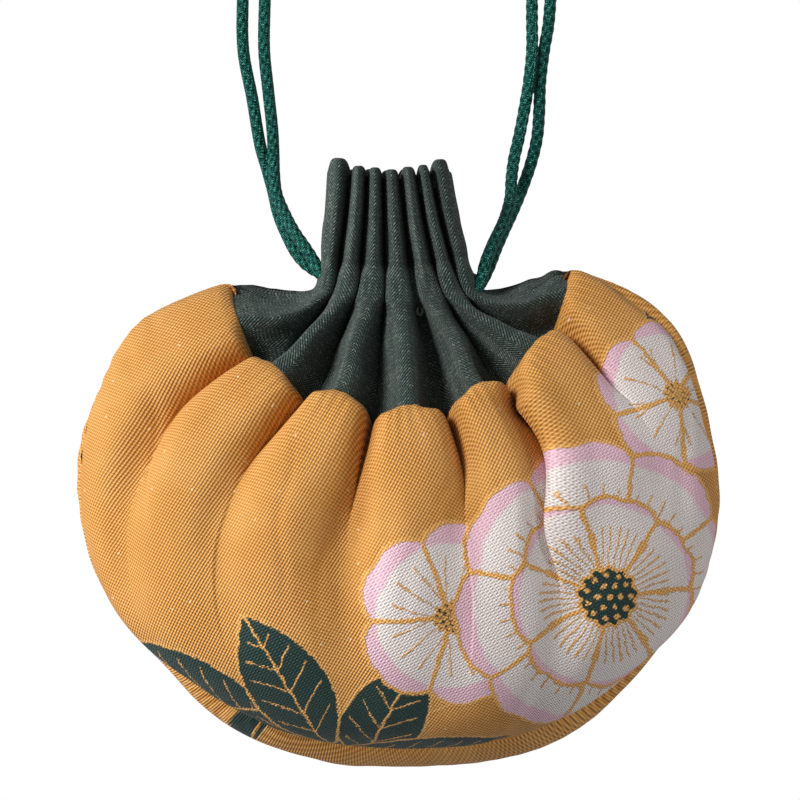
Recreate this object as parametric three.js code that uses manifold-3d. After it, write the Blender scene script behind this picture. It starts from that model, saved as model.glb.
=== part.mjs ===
// A small drawstring sachet pouch that lies on its back: a plump brocade body of two sewn panels,
// a pleated twill cuff gathered by two drawcords, and a bag of scented filling inside.
// Millimetres. X runs across the pouch, Y from the bottom seam to the neck, Z up from the table.
import * as THREE from "three";
import { mergeVertices } from "three/addons/utils/BufferGeometryUtils.js";
import Module from "manifold-3d";

const wasm = await Module();
wasm.setup();

// Overall sizes
const BODY_WIDTH = 100; // across the widest part of the body
const BODY_LENGTH = 75; // from the drawcords down to the bottom seam
const FRONT_BULGE = 21; // of the front panel above the side seams
const BACK_BULGE = 19; // of the back panel below them, before the table flattens it
const SEAM_HEIGHT = 15; // of the side seams above the table

// Neck and cuff
const RUFFLE_WIDTH = 19.6; // at the cuff's top edge
const RUFFLE_HEIGHT = 20.5; // from the drawcords up to the top edge
const RUFFLE_DIP = 1.8; // the middle pleats stand this much lower than the outer ones
const RUFFLE_LEAN = -1.8; // the top edge is off centre by this much
const NECK_WIDTH = 27;
const NECK_DEPTH = 14.4; // from the front pleats to the back pleats
const CUFF_SEAM_WIDTH = 54.5; // across the seam between cuff and body
const CUFF_DROP = 19.5; // the seam's lowest point, below the drawcords
const SHOULDER_RISE = 2.7; // the seam's ends, above the drawcords
const SHOULDER_TILT = 1.1; // the right shoulder stands this much higher, and the left one lower
const NECK_SLIT = 0.8; // left open between the front and back pleats
const SLIT_INSET = 3.6; // of the slit's ends from the neck's sides

// Cloth and cords
const CLOTH = 0.9;
const FILLING_GAP = 0.3;
const SEAM_GAP = 0.3;
const SEAM_TURN = 3.4; // of cloth turned in at the side and bottom seams
const CORD_DIAMETER = 2;
const CORD_CLEARANCE = 0.3; // all round, in the eyelets
const CORD_LEVEL = 0.5; // of the pair of cords, along Y
const CORD_INSET = 3.4; // of the cords' runs from the neck's middle plane
const CORD_TURN_IN = 5.3; // the cords leave their straight run this far inside the neck's sides
const CORD_TURN_UP = 0.35; // by then they have turned up by this much
const KNOT_DIAMETER = 6.4;
const KNOT_LENGTH = 7.6;
const KNOT_TAIL = 7; // of cord past the knot
const KNOT_GAP = 0.3;

// Angles of the folds' valleys, round the neck from the right side seam over the front
const FRONT_VALLEYS = [0, 21.5, 50.4, 73.5, 100, 125, 151];
const SIDE_FOLD = 0.2; // the side seams' valleys are this share as deep as the others
const BACK_VALLEYS = [180, 205.7, 231.4, 257.1, 282.9, 308.6, 334.3];
const VALLEYS = [...FRONT_VALLEYS, ...BACK_VALLEYS, 360];
const FRONT_PLEATS = FRONT_VALLEYS.length;
const PLEATS = FRONT_PLEATS + BACK_VALLEYS.length;

// Where a pleat is sampled, from one valley (-1) over its ridge (0) to the next: sharp and soft folds
const SHARP = [-1, -0.93, -0.6, 0, 0.6, 0.93];
const EVEN = [-1, -0.667, -0.333, 0, 0.333, 0.667];

// Rings of the cloth from the cuff's top edge (level 0) to the bottom seam (level 10). Level 4 is the
// seam between cuff and body. half and centre give a ring's width; sideY, frontY and backY its course
// along Y, and tilt lifts its right side; front and back are its rise and fall from the seams; fold is how
// deep its valleys are, box how square its section is, and soft how gently its folds are rounded.
const half = BODY_WIDTH / 2;
const neck = NECK_DEPTH / 2;
const neckFold = neck - CLOTH - NECK_SLIT / 2;
const seamHalf = CUFF_SEAM_WIDTH / 2;
const RINGS = [
  { half: RUFFLE_WIDTH / 2, centre: RUFFLE_LEAN, sideY: RUFFLE_HEIGHT, frontY: RUFFLE_HEIGHT - RUFFLE_DIP,
    backY: RUFFLE_HEIGHT - RUFFLE_DIP, front: neck, back: neck, fold: neckFold, box: 1, soft: 0, tilt: 0 },
  { half: (RUFFLE_WIDTH / 2) * 0.6 + (NECK_WIDTH / 2) * 0.4, centre: RUFFLE_LEAN * 0.65, sideY: RUFFLE_HEIGHT * 0.47,
    frontY: RUFFLE_HEIGHT * 0.45, backY: RUFFLE_HEIGHT * 0.45, front: neck, back: neck, fold: neckFold, box: 1,
    soft: 0, tilt: 0 },
  { half: NECK_WIDTH / 2, centre: RUFFLE_LEAN * 0.22, sideY: CORD_LEVEL, frontY: 0,
    backY: 0, front: neck, back: neck, fold: neckFold, box: 0.9, soft: 0, tilt: 0 },
  { half: (NECK_WIDTH / 2 + seamHalf) / 2, centre: 0, sideY: SHOULDER_RISE * 0.78, frontY: -CUFF_DROP * 0.45,
    backY: -CUFF_DROP * 0.45, front: FRONT_BULGE * 0.56, back: BACK_BULGE * 0.56, fold: neckFold, box: 0.4,
    soft: 0.3, tilt: 0.6 * SHOULDER_TILT },
  { half: seamHalf, centre: 0, sideY: SHOULDER_RISE, frontY: -CUFF_DROP,
    backY: -CUFF_DROP, front: FRONT_BULGE * 0.78, back: BACK_BULGE * 0.76, fold: 5.2, box: 0, soft: 0.6,
    tilt: SHOULDER_TILT },
  { half: half * 0.828, centre: 0.2, sideY: -BODY_LENGTH * 0.067, frontY: -BODY_LENGTH * 0.4,
    backY: -BODY_LENGTH * 0.39, front: FRONT_BULGE * 0.94, back: BACK_BULGE * 0.93, fold: 3.6, box: 0, soft: 1,
    tilt: SHOULDER_TILT * 0.27 },
  { half: half * 0.966, centre: -0.5, sideY: -BODY_LENGTH * 0.25, frontY: -BODY_LENGTH * 0.54,
    backY: -BODY_LENGTH * 0.52, front: FRONT_BULGE, back: BACK_BULGE, fold: 2, box: 0, soft: 1, tilt: 0 },
  { half, centre: -0.2, sideY: -BODY_LENGTH * 0.44, frontY: -BODY_LENGTH * 0.67,
    backY: -BODY_LENGTH * 0.66, front: FRONT_BULGE * 0.97, back: BACK_BULGE, fold: 0.8, box: 0, soft: 1, tilt: 0 },
  { half: half * 0.92, centre: 0.1, sideY: -BODY_LENGTH * 0.613, frontY: -BODY_LENGTH * 0.81,
    backY: -BODY_LENGTH * 0.82, front: FRONT_BULGE * 0.82, back: BACK_BULGE * 0.9, fold: 0.2, box: 0, soft: 1,
    tilt: 0 },
  { half: half * 0.728, centre: 1, sideY: -BODY_LENGTH * 0.747, frontY: -BODY_LENGTH * 0.92,
    backY: -BODY_LENGTH * 0.995, front: FRONT_BULGE * 0.5, back: BACK_BULGE * 0.6, fold: 0, box: 0, soft: 1, tilt: 0 },
  { half: half * 0.48, centre: 1, sideY: -BODY_LENGTH * 0.867, frontY: -BODY_LENGTH * 0.967,
    backY: -BODY_LENGTH * 0.967, front: 0, back: 0, fold: 0, box: 0, soft: 1, tilt: 0 },
];
const SEAM_LEVEL = 4;
const LAST_LEVEL = RINGS.length - 1;

// One property of the rings at any level, on a smooth curve through them
function ringValue(key, level) {
  const i = Math.min(Math.floor(level), LAST_LEVEL - 1);
  const t = level - i;
  const [p, a, b, n] = [i - 1, i, i + 1, i + 2].map(
    (k) => RINGS[THREE.MathUtils.clamp(k, 0, LAST_LEVEL)][key],
  );
  const cubic = -p + 3 * a - 3 * b + n;
  const square = 2 * p - 5 * a + 4 * b - n;
  return 0.5 * (2 * a + (b - p) * t + square * t * t + cubic * t ** 3);
}

// A point of the folds' outer envelope. lift parts the front panel from the back one along the seams.
function envelope(level, degrees, isFront, lift = 0) {
  const angle = THREE.MathUtils.degToRad(degrees);
  const box = THREE.MathUtils.clamp(ringValue("box", level), 0, 1);
  const turn = isFront ? 1 - degrees / 90 : degrees / 90 - 3;
  const across = THREE.MathUtils.lerp(Math.cos(angle), turn, box);
  const boxUp = Math.max(1 - turn ** 4, 0) ** 0.25;
  const up = THREE.MathUtils.lerp(Math.abs(Math.sin(angle)), boxUp, box);
  const sideY = ringValue("sideY", level);
  const farY = ringValue(isFront ? "frontY" : "backY", level);
  const rise = ringValue(isFront ? "front" : "back", level) * up + lift;
  const z = SEAM_HEIGHT + (isFront ? rise : -rise);
  const x = ringValue("centre", level) + ringValue("half", level) * across;
  return new THREE.Vector3(x, sideY + (farY - sideY) * up + ringValue("tilt", level) * across, z);
}

// The way out of the cloth, square to the envelope
function outward(level, degrees, isFront) {
  const step = 0.02;
  const low = Math.max(level - step, 0);
  const high = Math.min(level + step, LAST_LEVEL);
  const side = isFront ? [0, 180] : [180, 360];
  const before = THREE.MathUtils.clamp(degrees - 1, ...side);
  const after = THREE.MathUtils.clamp(degrees + 1, ...side);
  const down = envelope(high, degrees, isFront).sub(envelope(low, degrees, isFront));
  const round = envelope(level, after, isFront).sub(envelope(level, before, isFront));
  return round.cross(down).normalize();
}

// How much of the way from valley to ridge the cloth is, at place s of a pleat
function ridgeShare(s, level) {
  const soft = THREE.MathUtils.clamp(ringValue("soft", level), 0, 1);
  return Math.max(1 - s * s, 0) ** THREE.MathUtils.lerp(0.25, 0.7, soft);
}

// The valleys at the side seams are shallow: the share of a fold's depth on pleat i at place s
function sideShare(i, s) {
  const toNext = (s + 1) / 2;
  const end = PLEATS - 1;
  if (i === 0 || i === FRONT_PLEATS) return THREE.MathUtils.lerp(SIDE_FOLD, 1, toNext);
  if (i === FRONT_PLEATS - 1 || i === end) return THREE.MathUtils.lerp(1, SIDE_FOLD, toNext);
  return 1;
}

// A point of the cloth on pleat i at place s, sunk in towards the inside by a depth
function cloth(level, i, s, { depth = 0, lift = 0, share = ridgeShare(s, level) } = {}) {
  const degrees = THREE.MathUtils.lerp(VALLEYS[i], VALLEYS[i + 1], (s + 1) / 2);
  const fold = Math.max(ringValue("fold", level), 0) * (1 - share);
  const isFront = i < FRONT_PLEATS;
  const point = envelope(level, degrees, isFront, lift);
  const normal = outward(level, degrees, isFront);
  const atNeck = THREE.MathUtils.clamp(ringValue("box", level), 0, 1);
  // Pleats at the neck fold straight up and down, apart from the side valleys
  const sideways = Math.abs(normal.x) ** 3;
  const upright = new THREE.Vector3(0, 0, isFront ? 1 : -1);
  const into = normal.clone().lerp(upright, atNeck * (1 - sideways)).normalize();
  const reach = fold * sideShare(i, s);
  point.addScaledVector(into, -reach).addScaledVector(normal, -depth);
  point.z = Math.max(point.z, depth);
  if (lift > 0) {
    const edge = SEAM_HEIGHT + (isFront ? lift : -lift);
    point.z = isFront ? Math.max(point.z, edge) : Math.min(point.z, edge);
  }
  return point;
}

// The places round some pleats where a ring of cloth is sampled. width is the inner layer's share of
// a pleat, as its flanks are a cloth nearer the pleat's middle.
function places(level, firstPleat, count, isInner) {
  const soft = THREE.MathUtils.clamp(ringValue("soft", level), 0, 1);
  const halfPleat = (Math.PI * ringValue("half", level)) / PLEATS;
  const width = isInner ? Math.max(1 - CLOTH / halfPleat, 0.2) : 1;
  const found = [];
  for (let i = firstPleat; i < firstPleat + count; i++) {
    SHARP.forEach((sharp, k) => {
      const s = THREE.MathUtils.lerp(sharp, EVEN[k], soft);
      found.push([i, k === 0 ? s : s * width, s]);
    });
  }
  return found;
}

// At the neck the pleats are pressed flat: each is two layers with nothing between them, so the inner
// face of the cloth is a plain slit there and only follows the folds below it
function slitPoint(level, i, s) {
  const degrees = THREE.MathUtils.lerp(VALLEYS[i], VALLEYS[i + 1], (s + 1) / 2);
  const angle = THREE.MathUtils.degToRad(degrees);
  const reach = ringValue("half", level) - SLIT_INSET;
  const x = ringValue("centre", level) + reach * Math.cos(angle);
  const y = envelope(level, degrees, i < FRONT_PLEATS).y;
  return new THREE.Vector3(x, y, SEAM_HEIGHT + (NECK_SLIT / 2) * Math.sin(angle));
}

function ringOfCloth(level, firstPleat, count, isInner, isOpen, lift) {
  const depth = isInner ? CLOTH : 0;
  const ring = places(level, firstPleat, count, isInner).map(([i, s, outer]) => {
    const point = cloth(level, i, s, { depth, lift, share: ridgeShare(outer, level) });
    const follows = THREE.MathUtils.smoothstep(level, 2.2, 3.4);
    return isInner ? slitPoint(level, i, s).lerp(point, follows) : point;
  });
  if (isOpen) ring.push(cloth(level, firstPleat + count - 1, 1, { depth, lift }));
  return ring;
}

// A closed mesh from rows of points: outer rows, then inner rows. isOpen rows end in side walls.
function shell(outer, inner, isOpen) {
  const columns = outer[0].length;
  const rows = outer.length;
  const positions = [...outer, ...inner].flat().flatMap((p) => p.toArray());
  const at = (layer, row, column) => (layer * rows + row) * columns + (column % columns);
  const index = [];
  const quad = (a, b, c, d) => index.push(a, c, b, a, d, c);
  const last = isOpen ? columns - 1 : columns;
  for (let c = 0; c < last; c++) {
    for (let r = 0; r < rows - 1; r++) {
      quad(at(0, r, c), at(0, r + 1, c), at(0, r + 1, c + 1), at(0, r, c + 1));
      quad(at(1, r, c), at(1, r, c + 1), at(1, r + 1, c + 1), at(1, r + 1, c));
    }
    quad(at(0, 0, c), at(0, 0, c + 1), at(1, 0, c + 1), at(1, 0, c));
    quad(at(0, rows - 1, c), at(1, rows - 1, c), at(1, rows - 1, c + 1), at(0, rows - 1, c + 1));
  }
  if (isOpen) {
    for (let r = 0; r < rows - 1; r++) {
      quad(at(0, r, 0), at(1, r, 0), at(1, r + 1, 0), at(0, r + 1, 0));
      quad(at(0, r, last), at(0, r + 1, last), at(1, r + 1, last), at(1, r, last));
    }
  }
  const geometry = new THREE.BufferGeometry();
  geometry.setAttribute("position", new THREE.Float32BufferAttribute(positions, 3));
  geometry.setIndex(index);
  return geometry;
}

function solid(geometry) {
  const bare = geometry.clone();
  bare.deleteAttribute("normal");
  bare.deleteAttribute("uv");
  const merged = mergeVertices(bare, 1e-3);
  const mesh = new wasm.Mesh({
    numProp: 3,
    vertProperties: merged.attributes.position.array,
    triVerts: new Uint32Array(merged.index.array),
  });
  return new wasm.Manifold(mesh);
}

function geometryOf(manifold) {
  const mesh = manifold.getMesh();
  const geometry = new THREE.BufferGeometry();
  geometry.setAttribute("position", new THREE.BufferAttribute(mesh.vertProperties, 3));
  geometry.setIndex(new THREE.BufferAttribute(mesh.triVerts, 1));
  return geometry;
}

// Cords: each goes in at one side of the neck, through the front pleats, round the far side, back
// through the back pleats and out again. Its two ends meet in a knot.
const cordRadius = CORD_DIAMETER / 2;
const runOffset = (CORD_DIAMETER + CORD_CLEARANCE) / 2;
const LEFT_FRONT_STRAND = [
  [-12.7, 3.1, 18], [-13.7, 4.8, 16.8], [-15, 6.8, 15], [-16.6, 9.1, 12.6], [-18.3, 12.3, 9.2], [-19.5, 15.3, 6.6],
  [-19.9, 18.5, 4.4], [-20, 21.5, 2.8], [-20.2, 25.4, 1.6], [-20.9, 32, 1.15], [-21.5, 38, 1.15],
  [-21.4, 46, 1.15], [-20.8, 62, 1.15], [-19.3, 80, 1.15], [-18.4, 87, 1.5], [-17.9, 91.5, 3],
];
const LEFT_BACK_STRAND = [
  [-12.9, 2.8, 11.2], [-14.7, 4, 10], [-16.3, 5.8, 8.2], [-17.7, 8.4, 6], [-19.2, 12, 3.8], [-20.1, 15.8, 2.2],
  [-21, 19.1, 1.4], [-22.1, 22.9, 1.15], [-23.4, 30.5, 1.15], [-24.8, 38, 1.15], [-24.9, 46, 1.15],
  [-24.2, 62, 1.15], [-21.9, 80, 1.15], [-20.9, 87, 1.5], [-20.4, 91.5, 3],
];
const RIGHT_FRONT_STRAND = [
  [12.7, 1.6, 18.1], [13.4, 4.2, 16.9], [14.6, 7.2, 14.7], [16.4, 11, 11.2], [17.4, 14.5, 8], [17.6, 17.5, 5.4],
  [18, 20.6, 3.4], [18.9, 24.6, 2], [19.6, 28.2, 1.6], [20.4, 33, 2.3], [20.9, 38, 2], [20.9, 43, 1.4],
  [20.9, 50, 1.15], [20.8, 62, 1.15], [19.7, 80, 1.15], [19.5, 87, 1.5], [19.4, 91.5, 3],
];
const RIGHT_BACK_STRAND = [
  [12.8, 1.2, 11.1], [14.1, 3.8, 9.9], [15.1, 6.4, 8.4], [16.4, 9.4, 6.4], [18, 12.9, 4.2], [19.5, 16.6, 2.4],
  [20.8, 20.4, 1.5], [21.7, 24.2, 1.15], [22.05, 28.5, 1.15], [22.2, 33, 1.15], [22.8, 38, 1.15],
  [23.6, 43, 1.15], [24.1, 62, 1.15], [22.3, 80, 1.15], [22, 87, 1.5], [21.8, 91.5, 3],
];

// side is -1 for the cord that is pulled to the left, and 1 for the right one
const turnX = NECK_WIDTH / 2 - 2;
const insideX = NECK_WIDTH / 2 - CORD_TURN_IN;
function cordRun(side, level) {
  const y = CORD_LEVEL - side * runOffset;
  const z = SEAM_HEIGHT + level * CORD_INSET;
  return [
    [side * turnX, y + CORD_TURN_UP, z],
    [side * insideX, y, z],
    [0, y, z],
    [-side * insideX, y, z],
  ];
}

function cordTurn(side) {
  const y = CORD_LEVEL - side * runOffset;
  return [
    [-side * (turnX - 1.1), y, SEAM_HEIGHT + CORD_INSET * 0.72],
    [-side * turnX, y, SEAM_HEIGHT],
    [-side * (turnX - 1.1), y, SEAM_HEIGHT - CORD_INSET * 0.72],
  ];
}

const vectors = (points) => points.map((p) => new THREE.Vector3(...p));

function cordRoute(side, frontStrand, backStrand) {
  return vectors([
    ...[...frontStrand].reverse(),
    ...cordRun(side, 1),
    ...cordTurn(side),
    ...cordRun(side, -1).reverse(),
    ...backStrand,
  ]);
}

// What the cords need of the cuff: a slot for both of them through the front pleats, one through the
// back pleats, a slot at each side for their turns, and a round way out for each strand
function cordWays() {
  const radius = cordRadius + CORD_CLEARANCE;
  const room = 0.12;
  const width = 2 * (runOffset + radius + room);
  const reach = 2 * (turnX + room);
  const slot = (size, x, level) =>
    wasm.Manifold.cube(size, true).translate(x, CORD_LEVEL, SEAM_HEIGHT + level * CORD_INSET);
  const thickness = 2 * (radius + room);
  let ways = slot([reach, width, thickness], 0, 1).add(slot([reach, width, thickness], 0, -1));
  [-1, 1].forEach((side) => {
    const bend = [...cordRun(side, 1).slice(2), ...cordTurn(side), ...cordRun(side, -1).slice(2).reverse()];
    ways = ways.add(solid(tube(vectors(bend), radius)).hull());
  });
  const strands = [LEFT_FRONT_STRAND, LEFT_BACK_STRAND, RIGHT_FRONT_STRAND, RIGHT_BACK_STRAND];
  strands.forEach((strand, k) => {
    const way = [...strand.slice(0, 4).reverse(), ...cordRun(k < 2 ? -1 : 1, k % 2 ? -1 : 1).slice(0, 2)];
    ways = ways.add(solid(tube(vectors(way), radius)));
  });
  return ways.simplify(0.02);
}

// A curve whose steps follow its control points, so that tight turns get short steps
class CordCurve extends THREE.CatmullRomCurve3 {
  getPointAt(u) {
    return this.getPoint(u);
  }

  getTangentAt(u) {
    return this.getTangent(u);
  }
}

function tube(points, radius) {
  const sides = 8;
  const corners = Array.from({ length: sides }, (_, k) => {
    const a = (2 * Math.PI * k) / sides;
    return new THREE.Vector2(radius * Math.cos(a), radius * Math.sin(a));
  });
  const section = new THREE.Shape(corners);
  const extrudePath = new CordCurve(points, false, "centripetal");
  const steps = (points.length - 1) * 2;
  return new THREE.ExtrudeGeometry(section, { steps, extrudePath, bevelEnabled: false });
}

// The knot that joins a cord's two ends, with their cut tails past it
function knot(frontStrand, backStrand) {
  const ends = [frontStrand, backStrand].map((s) => new THREE.Vector3(...s.at(-1)));
  const middle = ends[0].clone().add(ends[1]).multiplyScalar(0.5);
  const profile = [new THREE.Vector2(0, 0)];
  const steps = 7;
  for (let k = 0; k <= steps; k++) {
    const t = k / steps;
    const r = (KNOT_DIAMETER / 2) * (0.72 + 0.28 * Math.sin(Math.PI * t));
    profile.push(new THREE.Vector2(r, KNOT_LENGTH * t));
  }
  profile.push(new THREE.Vector2(0, KNOT_LENGTH));
  const ball = new THREE.LatheGeometry(profile, 14);
  ball.translate(middle.x, middle.y + KNOT_GAP, KNOT_DIAMETER / 2);
  let made = solid(ball);
  const spread = 0.9;
  [-1, 1].forEach((side) => {
    const tail = new THREE.CylinderGeometry(cordRadius, cordRadius, KNOT_TAIL + 2, 8);
    tail.translate(0, (KNOT_TAIL + 2) / 2, 0);
    tail.rotateZ((-side * spread) / KNOT_TAIL);
    tail.rotateX(-0.12);
    tail.translate(middle.x + side * 1.4, middle.y + KNOT_GAP + KNOT_LENGTH - 2, KNOT_DIAMETER / 2 - 0.6);
    made = made.add(solid(tail));
  });
  return geometryOf(made);
}

const leftPoints = cordRoute(-1, LEFT_FRONT_STRAND, LEFT_BACK_STRAND);
const rightPoints = cordRoute(1, RIGHT_FRONT_STRAND, RIGHT_BACK_STRAND);

// Cuff
const seamShare = SEAM_GAP / 2 / 8; // of a level, as a level is at least 8 mm of cloth at the seam
const CUFF_LEVELS = [0, 0.5, 1, 1.5, 1.85, 2.15, 2.5, 3, 3.5, SEAM_LEVEL - seamShare];
function cuffGeometry() {
  const [outer, inner] = [false, true].map((isInner) =>
    CUFF_LEVELS.map((level) => ringOfCloth(level, 0, PLEATS, isInner, false, 0)),
  );
  const made = solid(shell(outer, inner, false)).subtract(cordWays());
  // Crumbs of cloth between the two cords are dropped
  const pieces = solid(geometryOf(made.simplify(0.02))).decompose();
  const [largest] = pieces.sort((a, b) => b.volume() - a.volume());
  return geometryOf(largest);
}

// Body panels
const BODY_LEVELS = [SEAM_LEVEL + seamShare, 4.35, 4.8, 5.4, 6, 6.7, 7.4, 8.1, 8.8, 9.4, 9.75, LAST_LEVEL];
function panelGeometry(firstPleat) {
  const lift = SEAM_GAP / 2;
  const [outer, inner] = [false, true].map((isInner) =>
    BODY_LEVELS.map((level) => ringOfCloth(level, firstPleat, FRONT_PLEATS, isInner, true, lift)),
  );
  return shell(outer, inner, true);
}

// Filling: one soft bag that the panels are stretched over, inside their folds and their turned-in seams
const FILLING_LEVELS = BODY_LEVELS.slice(4, -2);
const BOTTOM_LEVEL = 8.5; // the bottom seam's turned-in cloth reaches up to here
function fillingGeometry() {
  const points = [];
  FILLING_LEVELS.forEach((level) => {
    for (let k = 0; k < PLEATS * 2; k++) {
      const degrees = THREE.MathUtils.lerp(VALLEYS[Math.floor(k / 2)], VALLEYS[Math.floor(k / 2) + 1], (k % 2) / 2);
      const atSeam = Math.abs(Math.cos(THREE.MathUtils.degToRad(degrees))) ** 8;
      const depth = CLOTH + FILLING_GAP + SEAM_TURN * Math.max(atSeam, level > BOTTOM_LEVEL ? 1 : 0);
      points.push(cloth(level, Math.floor(k / 2), (k % 2) - 1, { depth, share: 0 }).toArray());
    }
  });
  return geometryOf(wasm.Manifold.hull(points));
}

const brocade = new THREE.MeshStandardMaterial({ color: 0xd9963f, roughness: 0.7, metalness: 0 });
const twill = new THREE.MeshStandardMaterial({ color: 0x24382f, roughness: 0.85, metalness: 0 });
const satin = new THREE.MeshStandardMaterial({ color: 0x17564a, roughness: 0.45, metalness: 0 });
const wadding = new THREE.MeshStandardMaterial({ color: 0xe9e2d2, roughness: 0.95, metalness: 0 });

function named(name, geometry, material) {
  geometry.computeVertexNormals();
  const mesh = new THREE.Mesh(geometry, material);
  mesh.name = name;
  return mesh;
}

const cuff = named("neck_cuff", cuffGeometry(), twill);
const frontPanel = named("front_panel", panelGeometry(0), brocade);
const backPanel = named("back_panel", panelGeometry(FRONT_PLEATS), brocade);
const pouch = new THREE.Group();
pouch.add(cuff, frontPanel, backPanel);

// The origin is on the table, under the middle of the pouch without its cords
const box = new THREE.Box3().setFromObject(pouch);
pouch.add(
  named("scent_filling", fillingGeometry(), wadding),
  named("drawcord_left", tube(leftPoints, cordRadius), satin),
  named("drawcord_right", tube(rightPoints, cordRadius), satin),
  named("knot_left", knot(LEFT_FRONT_STRAND, LEFT_BACK_STRAND), satin),
  named("knot_right", knot(RIGHT_FRONT_STRAND, RIGHT_BACK_STRAND), satin),
);
pouch.position.set(-(box.min.x + box.max.x) / 2, -(box.min.y + box.max.y) / 2, -box.min.z);

const sachet = new THREE.Group();
sachet.add(pouch);

export default sachet;
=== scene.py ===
"""The scented sachet pouch, dressed: brocade panels with a woven floral pattern, a pleated twill cuff and
braided satin drawcords. Lengths are in millimetres, in the source's own frame until a mesh is made."""

import math

import bpy
import numpy as np
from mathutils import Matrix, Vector


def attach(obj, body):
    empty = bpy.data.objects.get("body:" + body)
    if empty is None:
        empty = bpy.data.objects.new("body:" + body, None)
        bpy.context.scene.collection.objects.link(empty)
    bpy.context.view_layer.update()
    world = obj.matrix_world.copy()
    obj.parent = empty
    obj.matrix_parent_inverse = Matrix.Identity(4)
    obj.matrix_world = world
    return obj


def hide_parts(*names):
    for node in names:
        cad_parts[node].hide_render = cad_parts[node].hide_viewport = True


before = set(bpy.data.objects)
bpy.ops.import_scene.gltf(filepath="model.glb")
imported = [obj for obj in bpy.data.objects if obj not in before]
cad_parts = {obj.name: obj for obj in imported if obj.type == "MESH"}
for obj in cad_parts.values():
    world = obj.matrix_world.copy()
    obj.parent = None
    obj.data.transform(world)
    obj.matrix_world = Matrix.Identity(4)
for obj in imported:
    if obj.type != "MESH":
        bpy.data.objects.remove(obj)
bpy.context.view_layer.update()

MM = 0.001
OFFSET = np.array([0.3205, 27.1402, 0.0])  # from the source's own frame to the row's frame
SEAM_HEIGHT = 15.0
TURN = 2 * math.pi


def to_row(points):
    """Points in the source's frame, in mm, as points in the row's frame, in metres."""
    return (np.asarray(points, float) + OFFSET) * MM


# Camera: it looks straight down on the pouch from far away, as the photo does.
VIEW_WIDTH = 125.6
VIEW_CENTRE = (0.0, -17.3)
VIEW_DISTANCE = 1600.0
SENSOR_WIDTH = 36.0
camera_data = bpy.data.cameras.new("camera")
camera_data.sensor_width = SENSOR_WIDTH
camera_data.lens = SENSOR_WIDTH * VIEW_DISTANCE / VIEW_WIDTH
camera_data.clip_end = 10.0
camera = bpy.data.objects.new("camera", camera_data)
camera.location = to_row([*VIEW_CENTRE, SEAM_HEIGHT + VIEW_DISTANCE])
bpy.context.collection.objects.link(camera)
bpy.context.scene.camera = camera


# Meshes and smooth functions


def make_object(name, vertices, faces):
    """A smooth-shaded object from vertices in metres and faces with one number of corners."""
    mesh = bpy.data.meshes.new(name)
    mesh.vertices.add(len(vertices))
    mesh.vertices.foreach_set("co", np.asarray(vertices, np.float32).ravel())
    faces = np.asarray(faces, np.int32)
    mesh.loops.add(faces.size)
    mesh.loops.foreach_set("vertex_index", faces.ravel())
    mesh.polygons.add(len(faces))
    mesh.polygons.foreach_set("loop_start", np.arange(0, faces.size, faces.shape[1], dtype=np.int32))
    mesh.update(calc_edges=True)
    mesh.validate()
    mesh.polygons.foreach_set("use_smooth", np.full(len(mesh.polygons), True))
    obj = bpy.data.objects.new(name, mesh)
    bpy.context.collection.objects.link(obj)
    return obj


def grid_faces(rows, columns, closed=False, flip=False):
    """The quads of a grid of points. closed joins its last column to its first, flip turns the faces over."""
    wide = columns if closed else columns - 1
    r, c = np.meshgrid(np.arange(rows - 1), np.arange(wide), indexing="ij")
    a = r * columns + c
    b = r * columns + (c + 1) % columns
    quads = np.stack([a, b, b + columns, a + columns], axis=-1).reshape(-1, 4)
    return quads[:, ::-1] if flip else quads


def add_uv(obj, name, uv):
    """A UV map from one uv per vertex."""
    layer = obj.data.uv_layers.new(name=name)
    index = np.empty(len(obj.data.loops), np.int32)
    obj.data.loops.foreach_get("vertex_index", index)
    layer.data.foreach_set("uv", np.asarray(uv, np.float32)[index].ravel())


def add_value(obj, name, values):
    """One number per vertex, for a material to read."""
    attribute = obj.data.attributes.new(name, "FLOAT", "POINT")
    attribute.data.foreach_set("value", np.asarray(values, np.float32).ravel())


def noise(x, y, seed):
    """Smooth random values in -1 to 1 over a plane, one cell a unit wide."""
    xi, yi = np.floor(x).astype(int), np.floor(y).astype(int)
    fx, fy = x - xi, y - yi
    fx, fy = fx * fx * (3 - 2 * fx), fy * fy * (3 - 2 * fy)

    def corner(i, j):
        v = np.sin(i * 127.1 + j * 311.7 + seed * 74.7) * 43758.5453
        return (v - np.floor(v)) * 2 - 1

    low = corner(xi, yi) * (1 - fx) + corner(xi + 1, yi) * fx
    high = corner(xi, yi + 1) * (1 - fx) + corner(xi + 1, yi + 1) * fx
    return low * (1 - fy) + high * fy


def smoothstep(low, high, x):
    t = np.clip((x - low) / (high - low), 0, 1)
    return t * t * (3 - 2 * t)


def plateau(x, start, full, leave, end):
    """0 up to start, 1 from full to leave, and 0 again from end on."""
    return smoothstep(start, full, x) * (1 - smoothstep(leave, end, x))


def bell(x, width):
    """1 at zero, and less and less to either side."""
    return np.exp(-((x / width) ** 2))


# Materials


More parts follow.
